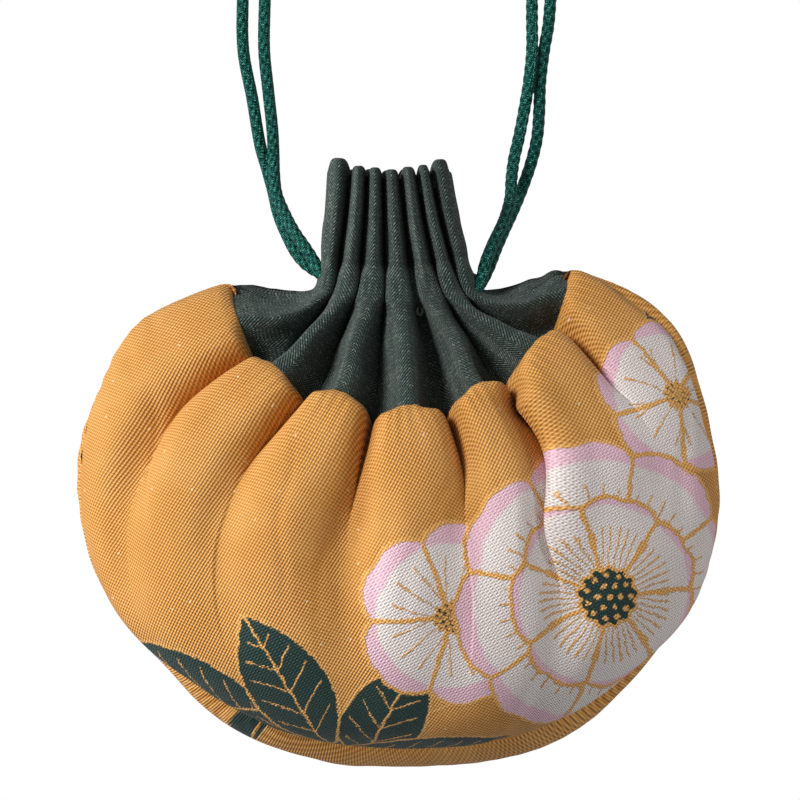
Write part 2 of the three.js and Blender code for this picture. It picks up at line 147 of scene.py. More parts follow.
class Nodes:
    """Short names for building a node material. Values are sockets or plain numbers."""

    def __init__(self, name):
        self.material = bpy.data.materials.new(name)
        self.material.use_nodes = True
        self.tree = self.material.node_tree
        self.shader = self.tree.nodes["Principled BSDF"]

    def node(self, kind, **settings):
        made = self.tree.nodes.new(kind)
        for key, value in settings.items():
            setattr(made, key, value)
        return made

    def put(self, value, socket):
        if isinstance(value, bpy.types.NodeSocket):
            self.tree.links.new(value, socket)
        else:
            socket.default_value = value

    def math(self, operation, *values, clamp=False):
        made = self.node("ShaderNodeMath", operation=operation, use_clamp=clamp)
        for value, socket in zip(values, made.inputs):
            self.put(value, socket)
        return made.outputs[0]

    def plus(self, first, second):
        return self.math("ADD", first, second)

    def minus(self, first, second):
        return self.math("SUBTRACT", first, second)

    def times(self, first, second):
        return self.math("MULTIPLY", first, second)

    def times_plus(self, first, second, added):
        return self.math("MULTIPLY_ADD", first, second, added)

    def over(self, first, second):
        return self.math("DIVIDE", first, second)

    def larger(self, first, second):
        return self.math("MAXIMUM", first, second)

    def size(self, value):
        return self.math("ABSOLUTE", value)

    def reach(self, x, y):
        """How long a line with these two parts is."""
        return self.math("SQRT", self.plus(self.times(x, x), self.times(y, y)))

    def wave(self, value, pitch=1.0):
        """A sine wave that repeats at every pitch."""
        return self.math("SINE", self.times(value, TURN / pitch))

    def off_whole(self, value):
        """How far a value is from the nearest whole number."""
        return self.size(self.minus(self.math("FRACT", self.plus(value, 0.5)), 0.5))

    def centred(self, value, width):
        """A random value from 0 to 1, as one that is spread over a width round 0."""
        return self.times(self.minus(value, 0.5), width)

    def mix(self, share, first, second):
        made = self.node("ShaderNodeMix", data_type="RGBA", blend_type="MIX")
        self.put(share, made.inputs[0])
        self.put(first, made.inputs[6])
        self.put(second, made.inputs[7])
        return made.outputs[2]

    def ramp(self, value, low, high):
        """A smooth step from 0 at low to 1 at high, which may be the smaller of the two."""
        made = self.node("ShaderNodeMapRange", interpolation_type="SMOOTHSTEP")
        for socket, number in zip(made.inputs, (value, low, high)):
            self.put(number, socket)
        return made.outputs[0]

    def value(self, name):
        return self.node("ShaderNodeAttribute", attribute_name=name).outputs["Fac"]

    def uv(self, name):
        """The two parts of a UV map's coordinates, in mm, and the coordinates themselves, in metres."""
        made = self.node("ShaderNodeUVMap", uv_map=name)
        parts = self.node("ShaderNodeSeparateXYZ")
        self.tree.links.new(made.outputs[0], parts.inputs[0])
        return [self.times(parts.outputs[k], 1 / MM) for k in (0, 1)], made.outputs[0]

    def bump(self, height, distance, strength):
        made = self.node("ShaderNodeBump")
        made.inputs["Strength"].default_value = strength
        made.inputs["Distance"].default_value = distance
        self.put(height, made.inputs["Height"])
        return made.outputs[0]

    def noise(self, vector, scale, detail):
        made = self.node("ShaderNodeTexNoise")
        made.inputs["Scale"].default_value = scale
        made.inputs["Detail"].default_value = detail
        self.put(vector, made.inputs["Vector"])
        return made.outputs[0]

    def cells(self, u, v, pitch):
        """One random number a thread cell, from 0 to 1."""
        joined = self.node("ShaderNodeCombineXYZ")
        for part, socket in zip((u, v), joined.inputs):
            self.put(self.math("FLOOR", self.over(part, pitch)), socket)
        white = self.node("ShaderNodeTexWhiteNoise", noise_dimensions="2D")
        self.put(joined.outputs[0], white.inputs["Vector"])
        return white.outputs["Value"]

    def flecks(self, uv, scale, radius, share):
        """Small round spots at random places, on this share of a grid's cells."""
        spots = self.node("ShaderNodeTexVoronoi", feature="F1", voronoi_dimensions="2D")
        spots.inputs["Scale"].default_value = scale
        self.put(uv, spots.inputs["Vector"])
        chosen = self.math("GREATER_THAN", spots.outputs["Color"], 1 - share)
        return self.times(self.ramp(spots.outputs["Distance"], radius, radius / 2.1), chosen)

    def finish(self, **inputs):
        for name, value in inputs.items():
            self.put(value, self.shader.inputs[name.replace("_", " ")])
        return self.material


AMBER = (0.61, 0.262, 0.042, 1)
AMBER_GAP_SHADE = (0.36, 0.125, 0.016, 1)
AMBER_HIGHLIGHT_AND_PALE = (0.95, 0.56, 0.20, 1)
FLECK = (0.88, 0.68, 0.46, 1)
LEAF_GREEN = (0.007, 0.030, 0.026, 1)
LEAF_LIGHT = (0.016, 0.055, 0.046, 1)
SILVER = (0.90, 0.83, 0.80, 1)
SILVER_SHADE = (0.55, 0.48, 0.46, 1)
PINK = (0.84, 0.55, 0.65, 1)
PINK_SHADE = (0.66, 0.42, 0.50, 1)
GOLD = (0.62, 0.27, 0.045, 1)
TWILL_DARK = (0.0030, 0.0070, 0.0062, 1)
TWILL_GREEN = (0.074, 0.118, 0.104, 1)
TWILL_WORN = (0.055, 0.095, 0.083, 1)
TWILL_GLINT = (0.30, 0.40, 0.36, 1)
SATIN_HOLLOW_SHADE = (0.0010, 0.014, 0.012, 1)
SATIN_GREEN = (0.006, 0.095, 0.075, 1)
SATIN_GLINT = (0.16, 0.62, 0.50, 1)
SATIN_SHINE = (0.25, 1.0, 0.85, 1)
THREAD = (0.25, 0.33, 0.28, 1)
WADDING = (0.82, 0.77, 0.66, 1)

# The woven pattern's lines and its blossoms' hearts
EDGE_SOFTNESS = 0.09
VEIN_SOFTNESS = 0.08
VEIN_HALF_WIDTH = 0.17
PETAL_OUTLINE = 0.66
HEART_OUTLINE = 0.6
HEART_TEETH = 13.0
TOOTH = 0.28
GRAIN_RADIUS = 0.45
RIB_PITCH = 4.4
RIB_HALF_WIDTH = 0.12
MIDRIB_WIDTH = 0.44
LEAF_OUTLINE = 0.5
STEM_WIDTH = 0.5
# Centre on the flat cloth, direction in degrees, length, width and bend of each leaf
LEAVES = (
    ((-35, -66), 150, 40, 16, 0.006),
    ((-23, -75), 186, 40, 16, -0.006),
    ((-18, -64), 112, 30, 14, 0.006),
    ((-3, -71), 68, 30, 14, -0.006),
    ((4, -80), 12, 36, 14, 0.006),
    ((47, -5), 118, 19, 8, 0.01),
    ((57, -14), 20, 20, 9, -0.01),
)
SMALL_BLOOM = (46, -15)
SIDE_BLOOM = (8, -51)
LARGE_BLOOM = (33, -48)


class Print:
    """The woven pattern, drawn with nodes from a place on the flat cloth in mm, one figure over another."""

    def __init__(self, n, u, v, ground, silver, pink, gold_color, leaf_color):
        self.n, self.u, self.v = n, u, v
        self.color = ground
        self.silver, self.pink = silver, pink
        self.gold_color, self.leaf_color = gold_color, leaf_color
        self.figure = 0.0
        self.gold = 0.0

    def local(self, centre, degrees):
        """Distances along and across a direction from a centre."""
        n = self.n
        a = math.radians(degrees)
        du = n.minus(self.u, centre[0])
        dv = n.minus(self.v, centre[1])
        along = n.times_plus(du, math.cos(a), n.times(dv, math.sin(a)))
        across = n.times_plus(dv, math.cos(a), n.times(du, -math.sin(a)))
        return along, across

    def step(self, distance, soft=EDGE_SOFTNESS):
        return self.n.ramp(distance, -soft, soft)

    def line(self, distance, width):
        """1 where a distance is within half a width of zero."""
        return self.step(self.n.minus(width / 2, self.n.size(distance)))

    def lay(self, mask, color, gold):
        """Lay a figure and its gold lines over what is drawn so far."""
        n = self.n
        self.color = n.mix(mask, self.color, color)
        gold = n.math("MULTIPLY", gold, 1.0, clamp=True)
        self.color = n.mix(gold, self.color, self.gold_color)
        self.figure = n.larger(self.figure, mask)
        self.gold = n.larger(n.times(self.gold, n.minus(1.0, mask)), gold)

    def petals(self, centre, count, start, near, length, width, veins, blush):
        """A ring of round-ended petals that begin at near. blush is the share of them that isn't pink."""
        n = self.n
        along, across = self.local(centre, start)
        angle = n.math("ARCTAN2", across, along)
        radius = n.reach(along, across)
        step = TURN / count
        turn = n.math("ROUND", n.over(angle, step))
        rest = n.minus(angle, n.times(turn, step))
        along = n.times(radius, n.math("COSINE", rest))
        across = n.times(radius, n.math("SINE", rest))
        t = n.over(n.minus(along, near), length)
        lengthwise = n.minus(n.times(t, 2.0), 1.0)
        sideways = n.times(across, 2 / width)
        square = n.times(sideways, sideways)
        taper = n.larger(n.times_plus(t, -0.55, 1.28), 0.4)
        round_end = n.math("SQRT", n.times_plus(lengthwise, lengthwise, n.times(square, taper)))
        # A small notch in the middle of each petal's end
        notch = n.times(n.ramp(n.size(sideways), 0.3, 0.0), n.ramp(t, 0.7, 1.0))
        round_end = n.times_plus(notch, 0.07, round_end)
        inside = n.times(n.minus(1.0, round_end), min(length, width) / 2)
        border = n.minus(n.times(along, math.tan(step / 2)), n.size(across))
        inside = n.math("MINIMUM", inside, n.times(border, math.cos(step / 2)))
        mask = self.step(inside)
        tone = n.mix(n.ramp(n.times_plus(square, 0.16, t), blush, blush + 0.045), self.silver, self.pink)
        # Veins run from the foot of the petal and spread towards its end
        fan = n.over(across, n.plus(t, 0.35))
        gap = width / veins
        from_vein = n.times(n.off_whole(n.over(fan, gap)), gap)
        vein = self.step(n.minus(VEIN_HALF_WIDTH, from_vein), VEIN_SOFTNESS)
        vein_end = n.times_plus(square, -0.35, 0.62)
        vein = n.times(vein, n.ramp(t, n.plus(vein_end, 0.03), vein_end))
        outline = self.line(n.minus(inside, 0.05), PETAL_OUTLINE)
        self.lay(mask, tone, n.larger(n.times(vein, mask), outline))

    def heart(self, centre, radius):
        """The blossom's dark middle with gold grains, in a toothed gold ring."""
        n = self.n
        along, across = self.local(centre, 0)
        r = n.reach(along, across)
        angle = n.math("ARCTAN2", across, along)
        teeth = n.times(n.math("SINE", n.times(angle, HEART_TEETH)), TOOTH)
        edge = n.minus(n.plus(radius, teeth), r)
        gold = self.line(edge, HEART_OUTLINE)
        for ring, count in ((0.0, 1), (radius * 0.4, 6), (radius * 0.75, 11)):
            turn = n.over(angle, TURN / count)
            rest = n.times(n.minus(turn, n.math("ROUND", turn)), TURN / count)
            dx = n.minus(n.times(r, n.math("COSINE", rest)), ring)
            dy = n.times(r, n.math("SINE", rest))
            gold = n.larger(gold, self.step(n.minus(GRAIN_RADIUS, n.reach(dx, dy))))
        self.lay(self.step(edge), self.leaf_color, gold)

    def leaf(self, centre, degrees, length, width, bend):
        """A pointed leaf with a gold outline, a midrib and slanting ribs."""
        n = self.n
        along, across = self.local(centre, degrees)
        across = n.plus(across, n.times_plus(n.times(along, along), -bend, bend * length * 2))
        radius = (length**2 / 4 + width**2 / 4) / width
        side = n.size(across)
        lifted = n.plus(side, radius - width / 2)
        inside = n.minus(radius, n.reach(along, lifted))
        mask = self.step(inside)
        slant = n.over(n.times_plus(side, -0.9, along), RIB_PITCH)
        from_rib = n.times(n.off_whole(slant), 3.2)
        rib = self.step(n.minus(RIB_HALF_WIDTH, from_rib), VEIN_SOFTNESS)
        rib = n.times(rib, self.step(n.minus(inside, width * 0.1)))
        gold = n.times(n.larger(rib, self.line(across, MIDRIB_WIDTH)), mask)
        self.lay(mask, self.leaf_color, n.larger(gold, self.line(inside, LEAF_OUTLINE)))

    def stem(self, centre, radius, low, high):
        """A gold arc round a centre, between two heights on the cloth."""
        n = self.n
        along, across = self.local(centre, 0)
        arc = self.line(n.minus(n.reach(along, across), radius), STEM_WIDTH)
        share = n.times(self.step(n.minus(self.v, low)), self.step(n.minus(high, self.v)))
        self.lay(0.0, self.leaf_color, n.times(arc, share))

    def all_figures(self):
        self.stem((-14, -30), 42, -78, -58)
        for centre, degrees, length, width, bend in LEAVES:
            self.leaf(centre, degrees, length, width, bend)
        self.petals(SMALL_BLOOM, 5, 20, 1.2, 12.5, 14, 3, 0.74)
        self.heart(SMALL_BLOOM, 2.2)
        self.petals(SIDE_BLOOM, 5, 75, 1.5, 13.5, 15, 4, 0.72)
        self.heart(SIDE_BLOOM, 2.5)
        self.petals(LARGE_BLOOM, 8, 12, 6.0, 19.0, 19.0, 7, 0.80)
        self.petals(LARGE_BLOOM, 7, 30, 3.0, 13.0, 14.0, 9, 0.86)
        self.heart(LARGE_BLOOM, 4.6)


def brocade(name):
    n = Nodes(name)
    (u, v), uv = n.uv("cloth")
    # Slanting floats about half a millimetre apart, each a little out of line
    loose = n.centred(n.noise(uv, 700.0, 1.0), 0.22)
    first = n.wave(n.plus(n.times_plus(u, 1.83, n.times(v, -1.10)), loose))
    second = n.wave(n.plus(n.times_plus(u, 0.764, n.times(v, 1.79)), loose))
    dots = n.times_plus(first, 0.58, n.times(second, 0.42))
    tone = n.noise(uv, 90.0, 3.0)
    # The floats' pattern is woven; their tops are painted lighter as highlight and the gaps between them
    # painted darker as shade
    amber = n.mix(n.ramp(dots, -0.95, -0.25), AMBER_GAP_SHADE, AMBER)
    amber = n.mix(n.times(n.ramp(dots, 0.1, 0.8), 0.7), amber, AMBER_HIGHLIGHT_AND_PALE)
    # A paler tone here and there, at random
    amber = n.mix(n.times(n.ramp(tone, 0.35, 0.7), 0.18), amber, AMBER_HIGHLIGHT_AND_PALE)
    amber = n.mix(n.times(n.flecks(uv, 170.0, 0.042, 0.4), 0.75), amber, FLECK)

    # The figures are satin, in finer rows, and their edges step a little from thread to thread
    satin_dots = n.times(n.wave(n.times_plus(u, 0.35, v), 0.5), n.wave(u, 0.62))
    shade = n.ramp(satin_dots, -0.9, 0.5)
    jitter = n.centred(n.cells(u, v, 0.33), 0.3)
    wander = n.noise(uv, 300.0, 1.0)
    drawn = Print(
        n,
        n.plus(n.plus(wander, n.minus(u, 0.5)), jitter),
        n.plus(n.times_plus(tone, 1.6, n.minus(v, 0.8)), jitter),
        ground=amber,
        silver=n.mix(shade, SILVER_SHADE, SILVER),
        pink=n.mix(shade, PINK_SHADE, PINK),
        # The gold floats get the same painted highlight on their tops
        gold_color=n.mix(n.ramp(dots, -0.6, 0.8), GOLD, AMBER_HIGHLIGHT_AND_PALE),
        leaf_color=n.mix(n.ramp(dots, -0.4, 1.0), LEAF_GREEN, LEAF_LIGHT),
    )
    drawn.all_figures()

    plain_cloth = n.minus(1.0, drawn.figure)
    ground_height = n.times(dots, n.times_plus(plain_cloth, 0.6, 0.4))
    figure_height = n.times(n.times(satin_dots, 0.5), drawn.figure)
    height = n.plus(n.plus(ground_height, figure_height), drawn.gold)
    return n.finish(
        Base_Color=drawn.color,
        Roughness=0.55,
        Sheen_Weight=0.12,
        Sheen_Roughness=0.4,
        Specular_IOR_Level=0.32,
        Normal=n.bump(height, 0.00013, 0.9),
    )


def twill(name):
    n = Nodes(name)
    (u, v), uv = n.uv("cloth")
    # Herringbone: the diagonals turn about every two millimetres across the band
    fold = n.math("PINGPONG", u, 2.1)
    slanted = n.times_plus(fold, 1.2, v)
    diagonal = n.wave(slanted, 0.58)
    yarn = n.wave(u, 0.42)
    dots = n.times_plus(n.times(diagonal, yarn), 0.45, n.times(diagonal, 0.55))
    tone = n.noise(uv, 260.0, 3.0)
    floats = n.cells(fold, slanted, 0.29)
    color = n.mix(n.ramp(dots, -0.7, 0.9), TWILL_DARK, TWILL_GREEN)
    color = n.mix(n.times(n.ramp(tone, 0.4, 0.7), 0.2), color, TWILL_WORN)
    # Painted glints on single floats, at random, on the raised parts of the weave
    thread_glint = n.times(n.ramp(floats, 0.45, 1.0), n.ramp(dots, -0.2, 0.8))
    color = n.mix(n.times(thread_glint, 0.85), color, TWILL_GLINT)
    return n.finish(
        Base_Color=color,
        Roughness=0.85,
        Sheen_Weight=0.12,
        Sheen_Roughness=0.5,
        Specular_IOR_Level=0.2,
        Normal=n.bump(dots, 0.00018, 1.0),
    )


def satin(name):
    n = Nodes(name)
    (u, v), _ = n.uv("cord")
    height = n.value("height")
    yarn = n.times(
        n.wave(n.times_plus(v, 0.9, n.times(u, 5.0))),
        n.wave(n.times_plus(v, 1.3, n.times(u, -3.0))),
    )
    fibre = n.wave(n.times_plus(u, 21.0, n.times(v, 2.0)))
    # Painted shade darkens the braid's hollows, and painted glints lie on the strands' tops
    color = n.mix(n.ramp(height, 0.3, 1.0), SATIN_HOLLOW_SHADE, SATIN_GREEN)
    glint = n.times(n.ramp(yarn, 0.35, 0.95), n.ramp(height, 0.5, 1.0))
    color = n.mix(n.times(glint, 0.85), color, SATIN_GLINT)
    return n.finish(
        Base_Color=color,
        Roughness=0.27,
        Sheen_Weight=0.0,
        Specular_IOR_Level=0.7,
        Specular_Tint=SATIN_SHINE,
        Normal=n.bump(n.times_plus(fibre, 0.25, yarn), 0.00016, 0.9),
    )


def plain(name, color, roughness):
    return Nodes(name).finish(Base_Color=color, Roughness=roughness)


body_brocade = brocade("body_brocade")
cuff_twill = twill("cuff_twill")
cord_satin = satin("cord_satin")
thread_pale = plain("thread_pale", THREAD, 0.6)
filling_wadding = plain("filling_wadding", WADDING, 0.9)


# Cords: the same points as the source's.
CORD_DIAMETER = 2.0
CORD_CLEARANCE = 0.3
CORD_HEIGHT = 0.5  # where the runs cross the neck, along y
CORD_INSET = 3.4
CORD_TURN_UP = 0.35
NECK_WIDTH = 27.0
INSIDE_X = NECK_WIDTH / 2 - 5.3
TURN_X = NECK_WIDTH / 2 - 2
RUN_OFFSET = (CORD_DIAMETER + CORD_CLEARANCE) / 2
BRAID_PITCH = 3.3
BRAID_VALLEY = 0.80
BRAID_RELIEF = 0.22
KNOT_DIAMETER = 6.4
KNOT_LENGTH = 7.6
KNOT_GAP = 0.3
KNOT_CORD_RADIUS = 0.9
LEFT_FRONT_STRAND = [
    (-12.7, 3.1, 18), (-13.7, 4.8, 16.8), (-15, 6.8, 15), (-16.6, 9.1, 12.6), (-18.3, 12.3, 9.2),
    (-19.5, 15.3, 6.6), (-19.9, 18.5, 4.4), (-20, 21.5, 2.8), (-20.2, 25.4, 1.6), (-20.9, 32, 1.15),
    (-21.5, 38, 1.15), (-21.4, 46, 1.15), (-20.8, 62, 1.15), (-19.3, 80, 1.15), (-18.4, 87, 1.5),
    (-17.9, 91.5, 3),
]
LEFT_BACK_STRAND = [
    (-12.9, 2.8, 11.2), (-14.7, 4, 10), (-16.3, 5.8, 8.2), (-17.7, 8.4, 6), (-19.2, 12, 3.8),
    (-20.1, 15.8, 2.2), (-21, 19.1, 1.4), (-22.1, 22.9, 1.15), (-23.4, 30.5, 1.15), (-24.8, 38, 1.15),
    (-24.9, 46, 1.15), (-24.2, 62, 1.15), (-21.9, 80, 1.15), (-20.9, 87, 1.5), (-20.4, 91.5, 3),
]
RIGHT_FRONT_STRAND = [
    (12.7, 1.6, 18.1), (13.4, 4.2, 16.9), (14.6, 7.2, 14.7), (16.4, 11, 11.2), (17.4, 14.5, 8),
    (17.6, 17.5, 5.4), (18, 20.6, 3.4), (18.9, 24.6, 2), (19.6, 28.2, 1.6), (20.4, 33, 2.3),
    (20.9, 38, 2), (20.9, 43, 1.4), (20.9, 50, 1.15), (20.8, 62, 1.15), (19.7, 80, 1.15),
    (19.5, 87, 1.5), (19.4, 91.5, 3),
]
RIGHT_BACK_STRAND = [
    (12.8, 1.2, 11.1), (14.1, 3.8, 9.9), (15.1, 6.4, 8.4), (16.4, 9.4, 6.4), (18, 12.9, 4.2),
    (19.5, 16.6, 2.4), (20.8, 20.4, 1.5), (21.7, 24.2, 1.15), (22.05, 28.5, 1.15), (22.2, 33, 1.15),
    (22.8, 38, 1.15), (23.6, 43, 1.15), (24.1, 62, 1.15), (22.3, 80, 1.15), (22, 87, 1.5),
    (21.8, 91.5, 3),
]


def strand_route(side, level, strand):
    """From the far side of the neck's turn, through the pleats, out at its own side and on to the knot."""
    y = CORD_HEIGHT - side * RUN_OFFSET
    z = SEAM_HEIGHT + level * CORD_INSET
    turn = [
        (-side * TURN_X, y, SEAM_HEIGHT + level * 0.2),
        (-side * (TURN_X - 1.1), y, SEAM_HEIGHT + level * CORD_INSET * 0.72),
    ]
    run = [(-side * INSIDE_X, y, z), (0, y, z), (side * INSIDE_X, y, z), (side * TURN_X, y + CORD_TURN_UP, z)]
    return turn + run + list(strand)


def smooth_path(points, step=0.3):
    """Points a step apart on a centripetal curve through the given ones."""
    p = np.asarray(points, float)
    p = np.vstack([2 * p[0] - p[1], p, 2 * p[-1] - p[-2]])
    out = []
    for k in range(1, len(p) - 2):
        a, b, c, d = p[k - 1 : k + 3]
        t = np.cumsum([0] + [max(np.linalg.norm(y - x), 1e-6) ** 0.5 for x, y in ((a, b), (b, c), (c, d))])
        count = max(2, int(np.linalg.norm(c - b) / step) + 1)
        for x in np.linspace(t[1], t[2], count, endpoint=False):
            ab = (t[1] - x) / (t[1] - t[0]) * a + (x - t[0]) / (t[1] - t[0]) * b
            bc = (t[2] - x) / (t[2] - t[1]) * b + (x - t[1]) / (t[2] - t[1]) * c
            cd = (t[3] - x) / (t[3] - t[2]) * c + (x - t[2]) / (t[3] - t[2]) * d
            abc = (t[2] - x) / (t[2] - t[0]) * ab + (x - t[0]) / (t[2] - t[0]) * bc
            bcd = (t[3] - x) / (t[3] - t[1]) * bc + (x - t[1]) / (t[3] - t[1]) * cd
            out.append((t[2] - x) / (t[2] - t[1]) * abc + (x - t[1]) / (t[2] - t[1]) * bcd)
    out.append(p[-2])
    return np.array(out)


def steady_normals(tangents):
    """A normal at every point of a path that doesn't twist round it."""
    normal = np.cross(tangents[0], [0.3, 0.2, 1.0])
    normals = []
    for t in tangents:
        normal = normal - t * np.dot(normal, t)
        normal /= np.linalg.norm(normal)
        normals.append(normal)
    return np.array(normals)


def braided_tube(name, path, radius=CORD_DIAMETER / 2, sides=24):
    """A cord along a path: four pairs of strands cross each other, so its face is a row of small leaves."""
    tangents = np.gradient(path, axis=0)
    tangents /= np.linalg.norm(tangents, axis=1)[:, None]
    normals = steady_normals(tangents)
    sideways = np.cross(tangents, normals)
    run = np.concatenate([[0], np.cumsum(np.linalg.norm(np.diff(path, axis=0), axis=1))])
    angle = np.linspace(0, TURN, sides, endpoint=False)
    a, s = np.meshgrid(angle, run)
    wave = TURN * s / BRAID_PITCH
    left = np.abs(np.cos(2 * a + wave))
    right = np.abs(np.cos(2 * a - wave + 0.5))
    over = 0.5 + 0.5 * np.sin(4 * a) * np.sin(2 * wave)
    height = np.maximum(left * (0.75 + 0.25 * over), right * (1 - 0.25 * over)) ** 1.2
    r = radius * (BRAID_VALLEY + BRAID_RELIEF * height)
    around = np.cos(a)[..., None] * normals[:, None] + np.sin(a)[..., None] * sideways[:, None]
    ring = path[:, None] + around * r[..., None]
    vertices = np.vstack([ring.reshape(-1, 3), path[:1], path[-1:]])
    obj = make_object(name, to_row(vertices), grid_faces(len(path), sides, closed=True, flip=True))
    uv = np.stack([a.ravel() / TURN, s.ravel()], axis=1) * MM
    add_uv(obj, "cord", np.vstack([uv, uv[:1], uv[-1:]]))
    add_value(obj, "height", np.concatenate([height.ravel(), [0, 0]]))
    obj.data.materials.append(cord_satin)
    return obj


def tied_knot(name, centre, node, ends):
    """An overhand knot in the doubled cord, with the two cut tails past it. ends are the cords' own ends."""
    half_width, half_length = KNOT_DIAMETER / 2, KNOT_LENGTH / 2
    t = np.linspace(0, TURN, 161)[:-1]
    paths = []
    for shift in (-0.5, 0.5):
        x = (np.sin(t) + 2 * np.sin(2 * t)) * (half_width - KNOT_CORD_RADIUS) / 3
        y = (np.cos(t) - 2 * np.cos(2 * t)) * (half_length - KNOT_CORD_RADIUS) / 3
        z = -np.sin(3 * t) * (half_width - 1.1) * 0.75
        loop = np.stack([x + shift * 0.5, y + shift, z + shift * 0.4], axis=1) + centre
        paths.append(np.vstack([loop, loop[:2]]))
    for side in (-1, 1):
        tail = [
            (side * 0.8, KNOT_LENGTH * 0.2, -0.3),
            (side * 1.2, KNOT_LENGTH * 0.55, -0.7),
            (side * 1.6, half_length + 3.4, -1.4),
            (side * 1.9, half_length + 6.8, -1.9),
        ]
        paths.append(smooth_path(centre + np.array(tail)))
    for end in ends:
        halfway = (end + centre) / 2
        lead = [end, end + np.array([0, 1.2, 0.1]), halfway + np.array([0, 1.4, 0.2]), centre]
        paths.append(smooth_path(lead))
    tubes = [braided_tube(f"{name}_{k}", path, KNOT_CORD_RADIUS, 12) for k, path in enumerate(paths)]
    with bpy.context.temp_override(active_object=tubes[0], selected_editable_objects=tubes):
        bpy.ops.object.join()
    knot = tubes[0]
    knot.name = name
    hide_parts(node)
    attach(knot, "root")
    return knot


def cord_pair(side_name, side, front_strand, back_strand):
    ends = np.array([front_strand[-1], back_strand[-1]], float)
    middle = ends.mean(axis=0)
    centre = np.array([middle[0], middle[1] + KNOT_GAP + KNOT_LENGTH / 2, KNOT_DIAMETER / 2])
    knot = tied_knot(f"knot_{side_name}_tied", centre, f"knot_{side_name}", ends)
    for place, level, strand in (("front", 1, front_strand), ("back", -1, back_strand)):
        path = smooth_path(strand_route(side, level, strand))
        obj = braided_tube(f"drawcord_{side_name}_{place}", path)
        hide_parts(f"drawcord_{side_name}")
        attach(obj, "root")


cord_pair("left", -1, LEFT_FRONT_STRAND, LEFT_BACK_STRAND)
cord_pair("right", 1, RIGHT_FRONT_STRAND, RIGHT_BACK_STRAND)


# The cloth's surface: the source's rings of folded cloth, sampled finely and with more of their detail.
# A level is a ring's place: 0 at the ruffle's top, 2 at the cords, 4 at the seam and 10 at the bottom.
CORDS_LEVEL = 2.0
SEAM_LEVEL = 4.0
BOTTOM_LEVEL = 10
PLEATS = 14
PLEATS_A_SIDE = 7
FRONT_VALLEYS = [0, 21.5, 50.4, 73.5, 100, 125, 151]
BACK_VALLEYS = [180, 205.7, 231.4, 257.1, 282.9, 308.6, 334.3]
VALLEYS = np.array([*FRONT_VALLEYS, *BACK_VALLEYS, 360.0])
SIDE_FOLD = 0.2
NECK_SIDE_FOLD = 0.05
RINGS = {
    "half": [9.8, 11.28, 13.5, 20.375, 27.25, 41.4, 48.3, 50, 46, 36.4, 24],
    "centre": [-1.8, -1.17, -0.4, 0, 0, 0.2, -0.5, -0.2, 0.1, 1, 1],
    "side_y": [19.4, 9.64, 0.5, 2.1, 2.9, -3.7, -18.75, -33, -46, -56, -65],
    "front_y": [18.7, 9.2, 0, -8.8, -19.5, -30, -40.5, -50.25, -60.75, -69, -72.5],
    "back_y": [18.7, 9.2, 0, -8.8, -19.5, -29.25, -39, -49.5, -61.5, -74.6, -72.5],
    "front": [7.2, 7.2, 7.2, 11.76, 16.4, 19.7, 21, 20.4, 17.2, 10.5, 0],
    "back": [7.2, 7.2, 7.2, 10.64, 14.4, 17.7, 19, 19, 17.1, 11.4, 0],
    "box": [1, 1, 0.9, 0.4, 0, 0, 0, 0, 0, 0, 0],
    "tilt": [0, 0, 0, 0.66, 1.1, 0.5, 0, 0, 0, 0, 0],
    "cuff_fold": [5.9, 5.9, 5.9, 7.0, 7.2, 7.2, 7.2, 7.2, 7.2, 7.2, 7.2],
}
RINGS = {key: np.array(values, float) for key, values in RINGS.items()}
# For each valley: how many levels it takes to fade below the seam, and how far it drifts round by then
VALLEY_REACH = np.array([1.2, 0.75, 2.6, 1.5, 2.1, 1.55, 2.0, 1.2, 1.5, 1.7, 1.5, 1.7, 1.5, 1.7, 1.2])
VALLEY_DRIFT = np.array([0, 9.0, 9.0, 3.2, 0, 0, -2.0, 0, 0, 0, 0, 0, 0, 0, 0])
# The front valleys' places at the ruffle's top and at the cords differ from those at the seam by this much
TOP_DRIFT = np.array([0, 8.5, -0.8, 0, -1.7, -3.8, -5.5, 0, 0, 0, 0, 0, 0, 0, 0])
CORD_DRIFT = np.array([0, 1.2, -5.0, -0.8, 2.5, 5.0, 5.0, 0, 0, 0, 0, 0, 0, 0, 0])
# For each pleat: how far its lobe of the body reaches up past its valleys
LOBE_RISE = np.array([0.7, 1.5, 1.9, 1.5, 2.7, 1.3, 0.7, 0.7, 1.5, 1.8, 1.8, 1.8, 1.5, 0.7])
# For each pleat: how far its end at the ruffle's top stands above the first ring
PLEAT_ENDS = np.array([1.3, 0.5, 0.2, -0.2, 0.1, 0.35, 1.5, 0.8, 0.0, 0.1, -0.1, 0.1, 0.0, 0.8])
BODY_LEVEL_MM = 12
DOME_MIDDLE = (0.0, -42.0)
DOME_FRONT = 21
DOME_BACK = 19
BACK_PLACE = (45, -3)  # from the front panel's place on the flat cloth to the back panel's
# Across the ruffle's top edge: how far towards the middle each row of the hem lies, and how far up
HEM = ((0.07, 0.22), (0.17, 0.3), (0.3, 0.05), (0.36, -1.0), (0.36, -4.0))
CUFF_COLUMNS = 34
CUFF_ROWS = 150
TWILL_SHIFT = 12.6


def ring_value(key, level):
    """A smooth curve through a ring size's values, at any level."""
    values = RINGS[key]
    i = np.clip(np.floor(level).astype(int), 0, BOTTOM_LEVEL - 1)
    t = level - i
    p, a, b, n = (values[np.clip(i + k, 0, BOTTOM_LEVEL)] for k in (-1, 0, 1, 2))
    return 0.5 * (2 * a + (b - p) * t + (2 * p - 5 * a + 4 * b - n) * t**2 + (-p + 3 * a - 3 * b + n) * t**3)


